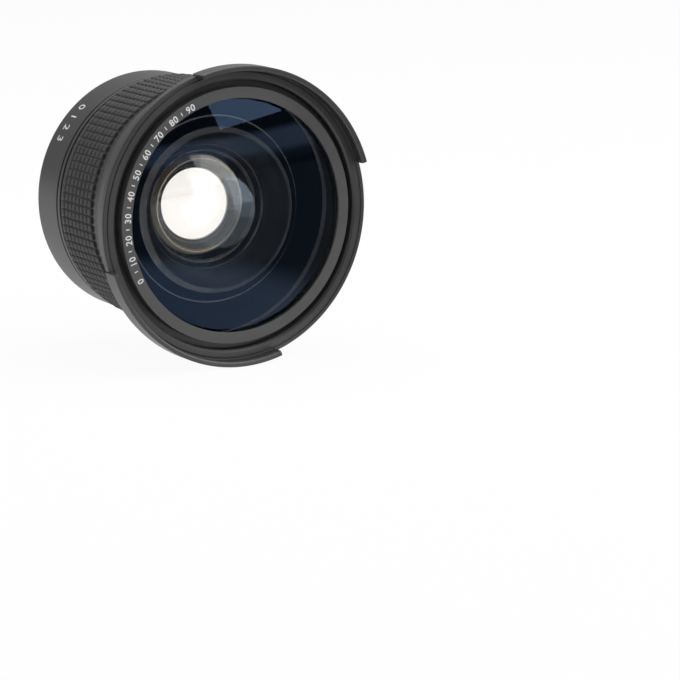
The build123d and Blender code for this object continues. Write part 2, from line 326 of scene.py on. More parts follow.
# Places in a lens's list of materials
FRONT_FACE = 0
REAR_FACE = 1
PAINTED_RIM = 2
BARE_RIM = 3


def mesh_object(name, points, faces, materials, body):
    """A smooth-shaded mesh that rides on a body of the model."""
    mesh = bpy.data.meshes.new(name)
    mesh.from_pydata(points, [], faces)
    mesh.update()
    mesh.shade_smooth()
    made = bpy.data.objects.new(name, mesh)
    bpy.context.scene.collection.objects.link(made)
    for material in materials:
        mesh.materials.append(material)
    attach(made, body)
    return made


def on_axis(radius, station, angle):
    return (radius * math.cos(angle), -station, radius * math.sin(angle))


def fall(curve, radius):
    """How far a spherical surface falls from its vertex to a radius."""
    return curve - math.sqrt(curve * curve - radius * radius)


def arc(vertex, curve, radius, side):
    """Points of a spherical surface from the axis out."""
    found = []
    for step in range(SURFACE_STEPS):
        reach = radius * math.sin(0.5 * math.pi * step / SURFACE_STEPS)
        found.append((reach, vertex + side * fall(curve, reach)))
    found.append((radius, vertex + side * fall(curve, radius)))
    return found


def lens_bands(front, rear, edge_radius, bare_from):
    """A lens's outline from pole to pole, each point with the material of the band that starts there.

    Where bare_from gives a station, the rim's paint stops there, and a fine line round the hollow is bare.
    """
    hollow_radius, at_rear = rear[-1]
    rim = [(front[-1], PAINTED_RIM)]
    if bare_from is not None:
        rim.append(((edge_radius, bare_from), BARE_RIM))
    if edge_radius > hollow_radius:
        rim.append(((edge_radius, at_rear), PAINTED_RIM))
        if bare_from is not None:
            rim.append(((hollow_radius + HOLLOW_LINE_WIDTH, at_rear), BARE_RIM))
    rim.append((rear[-1], REAR_FACE))
    before = [(point, FRONT_FACE) for point in front[:-1]]
    after = [(point, REAR_FACE) for point in rear[-2::-1]]
    return before + rim + after


def lens(name, front, rear, edge_radius, body, materials, bare_from=None):
    """A glass element: two spherical surfaces, given as points from the axis out, and a ground rim.

    The materials are those of the front surface, the rear surface, the painted rim and its bare parts.
    """
    bands = lens_bands(front, rear, edge_radius, bare_from)
    points = []
    for (radius, station), _ in bands[1:-1]:
        for step in range(SEGMENTS):
            points.append(on_axis(radius, station, 2 * math.pi * step / SEGMENTS))
    front_pole = len(points)
    last_ring = front_pole - SEGMENTS
    points.append((0.0, -front[0][1], 0.0))
    points.append((0.0, -rear[0][1], 0.0))
    faces = []
    choices = []
    for step in range(SEGMENTS):
        after = (step + 1) % SEGMENTS
        faces.append((front_pole, step, after))
        choices.append(FRONT_FACE)
        for ring, (_, choice) in enumerate(bands[1:-2]):
            here = ring * SEGMENTS
            behind = here + SEGMENTS
            faces.append((here + step, behind + step, behind + after, here + after))
            choices.append(choice)
        faces.append((front_pole + 1, last_ring + after, last_ring + step))
        choices.append(REAR_FACE)
    made = mesh_object(name, points, faces, materials, body)
    for face, choice in zip(made.data.polygons, choices):
        face.material_index = choice
    sharpen(made, LENS_CREASE)
    return made


def rounded(outline, radius):
    """A closed outline with its corners rounded, each by the radius or as much as its two sides allow."""
    found = []
    count = len(outline)
    for index in range(count):
        corner = np.array(outline[index])
        before = np.array(outline[index - 1]) - corner
        after = np.array(outline[(index + 1) % count]) - corner
        length = min(np.linalg.norm(before), np.linalg.norm(after))
        before = before / np.linalg.norm(before)
        after = after / np.linalg.norm(after)
        half = math.acos(max(-1.0, min(1.0, float(before @ after)))) / 2
        if not SHARPEST_HALF_ANGLE <= half <= FLATTEST_HALF_ANGLE:
            found.append(tuple(corner))
            continue
        reach = min(radius / math.tan(half), ROUND_SIDE_SHARE * length)
        own = reach * math.tan(half)
        middle = corner + (before + after) / np.linalg.norm(before + after) * (own / math.sin(half))
        start = corner + before * reach - middle
        end = corner + after * reach - middle
        sweep = math.pi - 2 * half
        for step in range(ROUND_STEPS + 1):
            share = step / ROUND_STEPS
            spoke = start * math.sin((1 - share) * sweep) + end * math.sin(share * sweep)
            found.append(tuple(middle + spoke / math.sin(sweep)))
    return found


def tube_faces(size, count, columns):
    """Faces from each column of points to the next, where a column is a closed loop of the given size."""
    faces = []
    for column in range(count):
        here = column * size
        beside = ((column + 1) % columns) * size
        for step in range(size):
            after = (step + 1) % size
            faces.append((here + step, here + after, beside + after, beside + step))
    return faces


def turned(name, outline, material, body, wave=None, start=0.0, end=FULL_TURN, bevel=None):
    """A piece turned about the optical axis from a closed outline, all round or over an arc with end faces.

    wave(radius, station, angle) may move a point's radius, as a screw thread does. A bevel rounds all the
    edges.
    """
    whole = end - start == FULL_TURN
    count = int(SEGMENTS * (end - start) / FULL_TURN)
    columns = count if whole else count + 1
    points = []
    for column in range(columns):
        angle = math.radians(start + (end - start) * column / count)
        for radius, station in outline:
            moved = wave(radius, station, angle) if wave else radius
            points.append(on_axis(moved, station, angle))
    size = len(outline)
    faces = tube_faces(size, count, columns)
    if not whole:
        faces.append(tuple(range(size)))
        faces.append(tuple(reversed(range(count * size, columns * size))))
    made = mesh_object(name, points, faces, (material,), body)
    sharpen(made, TURNED_CREASE)
    if bevel:
        bevel_edges(made, bevel)
    even_shading(made)
    return made


def bevel_edges(made, width):
    edge_bevel = made.modifiers.new("edge_bevel", "BEVEL")
    edge_bevel.width = width
    edge_bevel.segments = ROUND_STEPS
    edge_bevel.limit_method = "ANGLE"
    edge_bevel.angle_limit = math.radians(BEVEL_FROM)


def even_shading(made):
    """Keeps the large faces flat in shading and lets only the rounded edges turn."""
    weighting = made.modifiers.new("even_shading", "WEIGHTED_NORMAL")
    weighting.keep_sharp = True
    weighting.weight = 100


def sharpen(made, degrees):
    """Marks the edges sharper than an angle, so that shading breaks there."""
    work = bmesh.new()
    work.from_mesh(made.data)
    bmesh.ops.recalc_face_normals(work, faces=work.faces)
    for edge in work.edges:
        if len(edge.link_faces) == 2:
            edge.smooth = edge.calc_face_angle() < math.radians(degrees)
    work.to_mesh(made.data)
    work.free()


# Materials in use
BLACK = anodised("anodised_black", grey=0.024, roughness=0.34, grain=0.6)
HOOD_BLACK = anodised("hood_anodised", grey=0.048, roughness=0.34, grain=0.6)
RING_GREY = anodised("ring_satin_grey", grey=0.075, roughness=0.55, grain=0.9)
RUBBER = rubber()
INNER = matt("inner_black", grey=0.012, roughness=0.6)
CELL = matt("cell_black", grey=0.020, roughness=0.4)
SEAL = matt("seal_black", grey=0.010, roughness=0.75)
WASHER = matt("washer_black", grey=0.008, roughness=0.5)
RIM_PAINT = matt("lens_edge_paint", grey=0.006, roughness=0.5)
GROUND_EDGE = matt("ground_glass_edge", grey=0.24, roughness=0.6)
SHIM = brass()
INK = ink()
FRONT_GLASS = glass("front_coated_glass", CROWN_IOR, level=0.5, tint=(0.33, 0.56, 1.0))
HOLLOW_GLASS = glass("hollow_coated_glass", CROWN_IOR, level=0.15, tint=(0.6, 0.8, 1.0))
SECOND_GLASS = glass("second_front_coating", FLINT_IOR, level=1.0, tint=(0.94, 0.98, 1.0))
SECOND_BACK = glass("second_back_coating", FLINT_IOR, level=0.1, tint=(0.8, 0.9, 1.0))
MACRO_GLASS = glass("macro_coated_glass", CROWN_IOR, level=0.1, tint=(0.75, 0.85, 1.0))

# Pieces that are shown by their solids
CAD_MATERIALS = {
    "front_gasket": SEAL,
    "front_spacer": INNER,
    "inner_cell": CELL,
    "cell_shim": SHIM,
    "cell_retaining_ring": CELL,
    "ridged_baffle": INNER,
    "seam_washer": WASHER,
    "macro_retaining_ring": CELL,
    "macro_spacer": INNER,
    "rear_gasket": SEAL,
}


def dress_cad():
    for node, material in CAD_MATERIALS.items():
        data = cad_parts[node].data
        data.materials.clear()
        data.materials.append(material)


# Glass elements
FRONT_CURVE = 160.0 * MM
HOLLOW_CURVE = 26.1 * MM
HOLLOW_RADIUS = 25.7 * MM
FRONT_THICKNESS = 3.5 * MM
SECOND_FRONT_CURVE = 400.0 * MM
SECOND_REAR_CURVE = 60.0 * MM
MACRO_FRONT_CURVE = 75.0 * MM
MACRO_BACK_CURVE = 400.0 * MM
MACRO_REAR_CURVE = 150.0 * MM
AT_BARE_EDGE = 38.0 * MM
HOLLOW_LINE_WIDTH = 0.25 * MM


def build_front_glass():
    low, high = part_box("front_element")
    vertex = -low.y
    front = arc(vertex, FRONT_CURVE, high.x, FALLS_BACK)
    rear = arc(vertex - FRONT_THICKNESS, HOLLOW_CURVE, HOLLOW_RADIUS, FALLS_BACK)
    made = lens("front_glass", front, rear, high.x, FRONT,
                (FRONT_GLASS, HOLLOW_GLASS, RIM_PAINT, GROUND_EDGE), bare_from=AT_BARE_EDGE)
    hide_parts("front_element")


def build_second_glass():
    low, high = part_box("second_element")
    radius = high.x
    front = arc(-low.y - fall(SECOND_FRONT_CURVE, radius), SECOND_FRONT_CURVE, radius, REACHES_FORWARD)
    rear = arc(-high.y + fall(SECOND_REAR_CURVE, radius), SECOND_REAR_CURVE, radius, FALLS_BACK)
    made = lens("second_glass", front, rear, radius, FRONT,
                (SECOND_GLASS, SECOND_BACK, RIM_PAINT))
    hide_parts("second_element")


def build_macro_glasses():
    low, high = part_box("macro_front_element")
    radius = high.x
    front = arc(-low.y, MACRO_FRONT_CURVE, radius, FALLS_BACK)
    rear = arc(-high.y, MACRO_BACK_CURVE, radius, REACHES_FORWARD)
    made = lens("macro_front_glass", front, rear, radius, REAR,
                (MACRO_GLASS, MACRO_GLASS, RIM_PAINT))
    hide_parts("macro_front_element")

    low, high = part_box("macro_rear_element")
    radius = high.x
    front = [(0.0, -low.y), (radius / 2, -low.y), (radius, -low.y)]
    rear = arc(-high.y, MACRO_REAR_CURVE, radius, REACHES_FORWARD)
    made = lens("macro_rear_glass", front, rear, radius, REAR,
                (MACRO_GLASS, MACRO_GLASS, RIM_PAINT))
    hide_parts("macro_rear_element")


# Grip, its pads in rows round the sleeve. Shares are parts of the way across a pad's pitch.
GRIP_ROWS = 96
PADS_PER_ROW = 8
PAD_SEED = 7
GRIP_BORE = 35.65 * MM
ROW_GROOVE_DEPTH = 0.5 * MM
PAD_GROOVE_DEPTH = 0.34 * MM
PAD_CROWN = 0.12 * MM
PAD_UNEVENNESS = 0.03 * MM
GROOVE_SHARE = 0.06
FLAT_SHARE = 0.19
ROW_SHARES = (0.0, 0.07, 0.12, 0.17, 0.25, 0.4, 0.6, 0.75, 0.83, 0.88, 0.93)
PAD_SHARES = (0.0, 0.06, 0.11, 0.17, 0.26, 0.4, 0.6, 0.74, 0.83, 0.89, 0.94)


def pad_height(share):
    """0 in a groove and 1 on the flat of a pad."""
    from_edge = min(share, 1.0 - share)
    rise = max(0.0, min(1.0, (from_edge - GROOVE_SHARE) / (FLAT_SHARE - GROOVE_SHARE)))
    return rise * rise * (3.0 - 2.0 * rise)


def pad_crown(share):
    """0 at a pad's edges and 1 in its middle."""
    return 1.0 - (2 * share - 1) ** 2


def grip_radius(across, pad, along, unevenness):
    """The radius at shares across and along a pad. The end pads have no groove on their outer sides."""
    end_half = (pad == 0 and along < 0.5) or (pad == PADS_PER_ROW - 1 and along > 0.5)
    height_across = pad_height(across)
    height_along = 1.0 if end_half and 0.0 < along < 1.0 else pad_height(along)
    drop = max(ROW_GROOVE_DEPTH * (1 - height_across), PAD_GROOVE_DEPTH * (1 - height_along))
    crown = PAD_CROWN * pad_crown(across) * pad_crown(along)
    top = grip_high.x
    return min(top - PAD_CROWN - drop + crown + unevenness * height_across * height_along, top)


def build_grip():
    length = grip_front - grip_rear
    pitch = length / PADS_PER_ROW
    draw = np.random.default_rng(PAD_SEED)
    uneven = draw.uniform(-1.0, 1.0, (GRIP_ROWS, PADS_PER_ROW)) * PAD_UNEVENNESS
    lengthwise = [(pad, share) for pad in range(PADS_PER_ROW) for share in PAD_SHARES]
    lengthwise.append((PADS_PER_ROW - 1, 1.0))
    round_about = [(row, share) for row in range(GRIP_ROWS) for share in ROW_SHARES]
    points = []
    for row, across in round_about:
        angle = 2 * math.pi * (row + across) / GRIP_ROWS
        points.append(on_axis(GRIP_BORE, grip_rear, angle))
        for pad, along in lengthwise:
            radius = grip_radius(across, pad, along, uneven[row, pad])
            points.append(on_axis(radius, grip_rear + (pad + along) * pitch, angle))
        points.append(on_axis(GRIP_BORE, grip_rear + length, angle))
    columns = len(round_about)
    faces = tube_faces(len(lengthwise) + 2, columns, columns)
    made = mesh_object("grip_sleeve", points, faces, (RUBBER,), FRONT)
    sharpen(made, PAD_CREASE)
    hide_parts("rubber_grip")


# Screw threads. The slope and the crest's cut shape the flanks, with flat crests and roots between them.
THREAD_PITCH = 0.75 * MM
THREAD_STEPS = 14
THREAD_FADE = THREAD_PITCH / 2
THREAD_SLOPE = 2.2
THREAD_CREST_CUT = 0.6
RADIUS_TOLERANCE = 0.001 * MM


def thread_run(start, stop, radius):
    """Outline points close enough together for a thread between two stations."""
    steps = max(2, int(abs(stop - start) / THREAD_PITCH * THREAD_STEPS))
    return [(radius, start + (stop - start) * step / steps) for step in range(steps + 1)]


def thread_wave(low, high, crest, depth):
    """Cuts a right-hand thread into the surface at the crest radius between two stations.

    It fades at both ends. A positive depth cuts towards the axis and a negative one away from it.
    """
    def wave(radius, station, angle):
        if not low <= station <= high or abs(radius - crest) > RADIUS_TOLERANCE:
            return radius
        phase = (station / THREAD_PITCH - angle / (2 * math.pi)) % 1.0
        cut = min(1.0, max(0.0, THREAD_SLOPE * abs(2 * phase - 1) - THREAD_CREST_CUT))
        ends = min(1.0, (station - low) / THREAD_FADE, (high - station) / THREAD_FADE)
        return radius - depth * cut * max(0.0, ends)

    return wave


# Rings turned in metal: outlines as in the solids, with every edge a little rounded
EDGE_ROUND = 0.15 * MM
THREAD_LEAD_IN = 0.4 * MM

# Mount collar, with the camera thread
COLLAR_BORE = 24.4 * MM
CAMERA_THREAD_RADIUS = 26.0 * MM
CAMERA_THREAD_DEPTH = 0.42 * MM

# Rear ring, stations from the shoulder forwards
FLANGE_SOCKET = 29.05 * MM
AT_FLANGE_FRONT = 2.0 * MM
AT_WEB_FRONT = 3.2 * MM
AT_MACRO_RING = 8.62 * MM
AT_SOCKET_FLOOR = 9.6 * MM
AT_LAND_GROOVE = 12.4 * MM
AT_LAND = 13.0 * MM
AT_WASHER = 14.5 * MM
LAND_GROOVE_DEPTH = 0.4 * MM
REAR_EDGE_CHAMFER = 0.4 * MM
FINE_CHAMFER = 0.2 * MM
SPIGOT_SOCKET = 33.55 * MM
MACRO_THREAD_BORE = 28.6 * MM
MACRO_BORE = 27.6 * MM
MACRO_SEAT_BORE = 26.3 * MM

# Front barrel
AT_SPIGOT_END = 10.0 * MM
AT_BARREL = 15.0 * MM
AT_LEDGE = 29.87 * MM
AT_NECK_GROOVE = 38.5 * MM
NECK_GROOVE_WIDTH = 0.5 * MM
NECK_GROOVE_DEPTH = 0.35 * MM
AT_COLLAR_REAR = 46.0 * MM
AT_SKIRT_REAR = 50.0 * MM
AT_COLLAR_FRONT = 53.0 * MM
BARREL_REAR_BORE = 32.2 * MM
BARREL_BORE = 34.8 * MM
SPIGOT_RADIUS = 33.5 * MM
SPIGOT_THREAD_DEPTH = 0.35 * MM
LIP_RADIUS = 35.8 * MM
GRIP_SEAT = 35.6 * MM
NECK_RADIUS = 36.1 * MM
COLLAR_INNER = 37.15 * MM
COLLAR_OUTER = 39.05 * MM

# Petal hood
AT_BAND = 53.5 * MM
AT_RIM = 55.6 * MM
HOOD_BORE = 39.1 * MM
HOOD_NECK_BORE = 36.15 * MM
HOOD_REAR_RADIUS = 37.4 * MM
HOOD_REAR_CHAMFER = 0.3 * MM
RIM_RADIUS = 43.0 * MM
RIM_CHAMFER = 0.25 * MM
RIM_INNER_CHAMFER = 0.6 * MM
BAND_STEP = 0.3 * MM
RIM_GROOVE_OUTER = 41.8 * MM
RIM_GROOVE_WIDTH = 0.4 * MM
RIM_GROOVE_DEPTH = 0.35 * MM
LOBE_RADIUS = 43.5 * MM
LOBE_WALL = 1.6 * MM
LOBE_ROOT = 0.3 * MM
LOBE_INNER_CHAMFER = 0.5 * MM
LOBE_EDGE = 0.2 * MM
LOBE_STARTS = (17.2, 197.2)
LOBE_ANGLE = 90.0

# Name ring
AT_RING_FLANGE = 55.1 * MM
RING_BORE = 33.9 * MM
SKIRT_RADIUS = 37.1 * MM


def build_collar():
    end = -collar_high.y
    front = -collar_low.y
    flange = collar_high.x
    thread_start = end + THREAD_LEAD_IN
    thread_end = -EDGE_ROUND
    outline = [(COLLAR_BORE, end), (CAMERA_THREAD_RADIUS - THREAD_LEAD_IN, end)]
    outline += thread_run(thread_start, thread_end, CAMERA_THREAD_RADIUS)
    outline += [(CAMERA_THREAD_RADIUS, 0.0), (flange, 0.0), (flange, front), (COLLAR_BORE, front)]
    wave = thread_wave(thread_start, thread_end, CAMERA_THREAD_RADIUS, CAMERA_THREAD_DEPTH)
    made = turned("mount_collar_threaded", rounded(outline, EDGE_ROUND), BLACK, REAR,
                  wave=wave)
    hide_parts("mount_collar")


def build_rear_ring():
    groove_floor = rear_outer - LAND_GROOVE_DEPTH
    thread_start = AT_SOCKET_FLOOR + EDGE_ROUND
    thread_end = AT_WASHER - THREAD_LEAD_IN
    outline = [
        (FLANGE_SOCKET, 0.0),
        (rear_outer - REAR_EDGE_CHAMFER, 0.0),
        (rear_outer, REAR_EDGE_CHAMFER),
        (rear_outer, AT_LAND_GROOVE - FINE_CHAMFER),
        (rear_outer - FINE_CHAMFER, AT_LAND_GROOVE),
        (groove_floor, AT_LAND_GROOVE),
        (groove_floor, AT_LAND),
        (rear_outer, AT_LAND),
        (rear_outer, AT_WASHER - FINE_CHAMFER),
        (rear_outer - FINE_CHAMFER, AT_WASHER),
        (SPIGOT_SOCKET + THREAD_LEAD_IN, AT_WASHER),
    ]
    outline += thread_run(thread_end, thread_start, SPIGOT_SOCKET)
    outline += [
        (SPIGOT_SOCKET, AT_SOCKET_FLOOR),
        (MACRO_THREAD_BORE, AT_SOCKET_FLOOR),
        (MACRO_THREAD_BORE, AT_MACRO_RING),
        (MACRO_BORE, AT_MACRO_RING),
        (MACRO_BORE, AT_WEB_FRONT),
        (MACRO_SEAT_BORE, AT_WEB_FRONT),
        (MACRO_SEAT_BORE, AT_FLANGE_FRONT),
        (FLANGE_SOCKET, AT_FLANGE_FRONT),
    ]
    wave = thread_wave(thread_start, thread_end, SPIGOT_SOCKET, -SPIGOT_THREAD_DEPTH)
    made = turned("rear_ring_turned", rounded(outline, EDGE_ROUND), BLACK, REAR,
                  wave=wave)
    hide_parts("rear_ring")


def build_barrel():
    neck_groove_front = AT_NECK_GROOVE + NECK_GROOVE_WIDTH
    thread_start = AT_SPIGOT_END + THREAD_LEAD_IN
    thread_end = AT_BARREL - EDGE_ROUND
    outline = [(BARREL_REAR_BORE, AT_SPIGOT_END), (SPIGOT_RADIUS - THREAD_LEAD_IN, AT_SPIGOT_END)]
    outline += thread_run(thread_start, thread_end, SPIGOT_RADIUS)
    outline += [
        (SPIGOT_RADIUS, AT_BARREL),
        (LIP_RADIUS, AT_BARREL),
        (LIP_RADIUS, grip_rear),
        (GRIP_SEAT, grip_rear),
        (GRIP_SEAT, grip_front),
        (NECK_RADIUS, grip_front),
        (NECK_RADIUS, AT_NECK_GROOVE),
        (NECK_RADIUS - NECK_GROOVE_DEPTH, AT_NECK_GROOVE),
        (NECK_RADIUS - NECK_GROOVE_DEPTH, neck_groove_front),
        (NECK_RADIUS, neck_groove_front),
        (NECK_RADIUS, AT_COLLAR_REAR),
        (COLLAR_OUTER, AT_COLLAR_REAR),
        (COLLAR_OUTER, AT_COLLAR_FRONT),
        (COLLAR_INNER, AT_COLLAR_FRONT),
        (COLLAR_INNER, AT_SKIRT_REAR),
        (BARREL_BORE, AT_SKIRT_REAR),
        (BARREL_BORE, AT_LEDGE),
        (BARREL_REAR_BORE, AT_LEDGE),
    ]
    wave = thread_wave(thread_start, thread_end, SPIGOT_RADIUS, SPIGOT_THREAD_DEPTH)
    made = turned("front_barrel_turned", rounded(outline, EDGE_ROUND), BLACK, FRONT,
                  wave=wave)
    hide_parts("front_barrel")


def build_hood():
    groove_inner = RIM_GROOVE_OUTER - RIM_GROOVE_WIDTH
    at_hood = -hood_high.y
    outline = [
        (HOOD_NECK_BORE, at_hood),
        (HOOD_REAR_RADIUS - HOOD_REAR_CHAMFER, at_hood),
        (HOOD_REAR_RADIUS, at_hood + HOOD_REAR_CHAMFER),
        (RIM_RADIUS - BAND_STEP, AT_BAND),
        (RIM_RADIUS, AT_BAND),
        (RIM_RADIUS, AT_RIM - RIM_CHAMFER),
        (RIM_RADIUS - RIM_CHAMFER, AT_RIM),
        (RIM_GROOVE_OUTER, AT_RIM),
        (RIM_GROOVE_OUTER, AT_RIM - RIM_GROOVE_DEPTH),
        (groove_inner, AT_RIM - RIM_GROOVE_DEPTH),
        (groove_inner, AT_RIM),
        (HOOD_BORE + RIM_INNER_CHAMFER, AT_RIM),
        (HOOD_BORE, AT_RIM - RIM_INNER_CHAMFER),
        (HOOD_BORE, AT_COLLAR_REAR),
        (HOOD_NECK_BORE, AT_COLLAR_REAR),
    ]
    made = turned("hood_body", rounded(outline, EDGE_ROUND), HOOD_BLACK, FRONT)
    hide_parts("petal_hood")
    lobe_inner = LOBE_RADIUS - LOBE_WALL
    lobe_outline = [
        (lobe_inner, AT_RIM - LOBE_ROOT),
        (RIM_RADIUS - LOBE_ROOT, AT_BAND),
        (LOBE_RADIUS, AT_BAND),
        (LOBE_RADIUS, at_lobe),
        (lobe_inner + LOBE_INNER_CHAMFER, at_lobe),
        (lobe_inner, at_lobe - LOBE_INNER_CHAMFER),
    ]
    for number, start in enumerate(LOBE_STARTS, 1):
        lobe = turned(f"hood_lobe_{number}", lobe_outline, HOOD_BLACK, FRONT,
                      start=start, end=start + LOBE_ANGLE, bevel=LOBE_EDGE)
        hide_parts("petal_hood")


def build_name_ring():
    outline = [
        (RING_BORE, AT_RING_FLANGE),
        (BARREL_BORE, AT_RING_FLANGE),
        (BARREL_BORE, AT_SKIRT_REAR),
        (SKIRT_RADIUS, AT_SKIRT_REAR),
        (SKIRT_RADIUS, AT_COLLAR_FRONT),
        (ring_outer, AT_COLLAR_FRONT),
        (ring_outer, at_face),
        (RING_BORE, at_face),
    ]
    made = turned("name_ring_turned", rounded(outline, EDGE_ROUND), RING_GREY, FRONT)
    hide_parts("name_ring")


# Printed marks
PRINT_THICKNESS = 0.04 * MM
PRINT_SINK = 0.02 * MM
PRINT_LIFT = PRINT_THICKNESS / 2 - PRINT_SINK
RING_SCALE_START = 207.0
RING_SCALE_END = 115.0
RING_SCALE_STEPS = 9
RING_FIGURE_STEP = 10
RING_FIGURE_HEIGHT = 2.0 * MM
RING_FIGURE_RADIUS = 34.35 * MM
RING_FIGURE_BOLDNESS = 0.045 * MM
TICK_WIDTH = 0.28 * MM
TICK_HEIGHT = 1.1 * MM
TICK_LIFT = (RING_FIGURE_HEIGHT - TICK_HEIGHT) / 2
REAR_FIGURES = "0 1 2 3"
REAR_FIGURE_HEIGHT = 3.1 * MM
REAR_FIGURE_STATION = 3.8 * MM
REAR_FIGURE_ANGLE = 140.0
REAR_FIGURE_BOLDNESS = 0.03 * MM
FONT_CAP_SHARE = 0.73
LETTER_SPACING = 1.12
LETTER_CURVE_STEPS = 6


def flat_text(words, cap_height, boldness):
    """A text's mesh lying in the XY plane, centred along X with its baseline on Y = 0."""
    curve = bpy.data.curves.new("words", "FONT")
    curve.body = words
    curve.size = cap_height / FONT_CAP_SHARE
    curve.align_x = "CENTER"
    curve.extrude = PRINT_THICKNESS / 2
    curve.offset = boldness
    curve.resolution_u = LETTER_CURVE_STEPS
    curve.space_character = LETTER_SPACING
    source = bpy.data.objects.new("words", curve)
    mesh = bpy.data.meshes.new_from_object(source)
    bpy.data.objects.remove(source)
    return mesh


def tick_mesh():
    """A tick lying in the XY plane, centred along X with its foot on Y = 0."""
    half = TICK_WIDTH / 2
    flat = [(-half, 0.0), (half, 0.0), (half, TICK_HEIGHT), (-half, TICK_HEIGHT)]
    corners = [(x, y, z) for z in (-PRINT_THICKNESS / 2, PRINT_THICKNESS / 2) for x, y in flat]
    faces = [(0, 3, 2, 1), (4, 5, 6, 7), (0, 1, 5, 4), (1, 2, 6, 5), (2, 3, 7, 6), (3, 0, 4, 7)]
    mesh = bpy.data.meshes.new("tick")
    mesh.from_pydata(corners, [], faces)
    return mesh


def print_on(mesh, place, name, body):
    """Bends a flat mesh on to a surface: place(x, y, z) gives the point for each of its own."""
    for vertex in mesh.vertices:
        vertex.co = place(*vertex.co)
    mesh.name = name
    made = bpy.data.objects.new(name, mesh)
    bpy.context.scene.collection.objects.link(made)
    mesh.materials.clear()
    mesh.materials.append(INK)
    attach(made, body)


def on_face(middle_angle, lift=0.0):
    """Places flat points on the name ring's face, their tops outward, reading clockwise from the front."""
    def place(x, y, z):
        radius = RING_FIGURE_RADIUS + (lift + y)
        angle = math.radians(middle_angle) - x / (RING_FIGURE_RADIUS + RING_FIGURE_HEIGHT / 2)
        return on_axis(radius, at_face + PRINT_LIFT + z, angle)

    return place


def on_barrel(middle_angle, station, radius):
    """Places flat points on a barrel, their tops towards the front, reading towards larger angles."""
    def place(x, y, z):
        return on_axis(radius + PRINT_LIFT + z, station + y, math.radians(middle_angle) + x / radius)

    return place


def build_marks():
    step = (RING_SCALE_END - RING_SCALE_START) / RING_SCALE_STEPS
    for index in range(RING_SCALE_STEPS + 1):
        angle = RING_SCALE_START + index * step
        number = index * RING_FIGURE_STEP
        figure = flat_text(str(number), RING_FIGURE_HEIGHT, RING_FIGURE_BOLDNESS)
        print_on(figure, on_face(angle), f"ring_figure_{number}", FRONT)
        if index < RING_SCALE_STEPS:
            print_on(tick_mesh(), on_face(angle + step / 2, TICK_LIFT), f"ring_tick_{index}", FRONT)
    figures = flat_text(REAR_FIGURES, REAR_FIGURE_HEIGHT, REAR_FIGURE_BOLDNESS)
    print_on(figures, on_barrel(REAR_FIGURE_ANGLE, REAR_FIGURE_STATION, rear_outer), "rear_figures", REAR)


# Stage. The backdrop is white where it is seen straight, and a little brighter through glass, which makes up
# for the light that the glasses keep back. What is mirrored is a darker room instead, painted in the floor
# and the world as reflections only.
LIT_CENTRE = Vector((0.0, -30.0 * MM, 0.0))
AMBIENT = 0.34
THROUGH_GLASS = 1.2
FLOOR_HALF = 3.0
FLOOR_COLOUR = (0.8, 0.8, 0.8, 1.0)
FLOOR_WHITE_SHARE = 0.95

# The mirrored floor, a painted reflection that glows only in reflections: a painted pool of light in front
# of the lens, painted shade round about, pale again behind the lens
POOL_CENTRE = Vector((-35.0 * MM, -60.0 * MM, 0.0))
POOL_RADIUS = 0.085
POOL_END = 0.13
POOL_LEVEL = 0.9
FLOOR_LEVEL = 0.18
BEHIND_FROM = -0.02
BEHIND_TO = 0.05

# The mirrored walls, a painted reflection of a room that only mirrored rays see: their levels by the height
# of a direction, and the wall behind the lens, which takes over between two depths of a direction
WALL_LEVELS = ((0.0, 0.10), (0.03, 0.22), (0.05, 0.75), (0.10, 0.75), (0.12, 0.10), (1.0, 0.10))
BACK_WALL = (0.5, 0.5, 0.5, 1.0)
BACK_WALL_FROM = -0.1
BACK_WALL_TO = 0.5

# What the inner glasses mirror, as painted reflection: a pale floor, and a paler side of the room from an
# azimuth on, which the floor joins at a distance
INNER_FLOOR = 1.0
PALE_SIDE = 1.8
PALE_SIDE_FROM = math.radians(22.0)
PALE_FLOOR_FROM = 0.24


def build_camera():
    azimuth = math.radians(VIEW_AZIMUTH)
    elevation = math.radians(VIEW_ELEVATION)
    back = Vector((math.sin(azimuth) * math.cos(elevation),
                   -math.cos(azimuth) * math.cos(elevation),
                   math.sin(elevation)))
    right = Vector((math.cos(azimuth), math.sin(azimuth), 0.0))
    up = back.cross(right)
    focal_pixels = FRAME_PIXELS * LENS_MM / SENSOR_MM
    across = (RING_PIXEL_X - FRAME_PIXELS / 2) / focal_pixels * RING_DEPTH
    down = (RING_PIXEL_Y - FRAME_PIXELS / 2) / focal_pixels * RING_DEPTH
    ring_centre = Vector((0.0, -at_face, 0.0))
    data = bpy.data.cameras.new("camera")
    data.lens = LENS_MM
    data.sensor_width = SENSOR_MM
    data.clip_start = CLIP_START
    data.clip_end = CLIP_END
    camera = bpy.data.objects.new("camera", data)
    bpy.context.scene.collection.objects.link(camera)
    camera.location = ring_centre - right * across + up * down + back * RING_DEPTH
    camera.rotation_mode = "QUATERNION"
    camera.rotation_quaternion = (-back).to_track_quat("-Z", "Y")
    bpy.context.scene.camera = camera


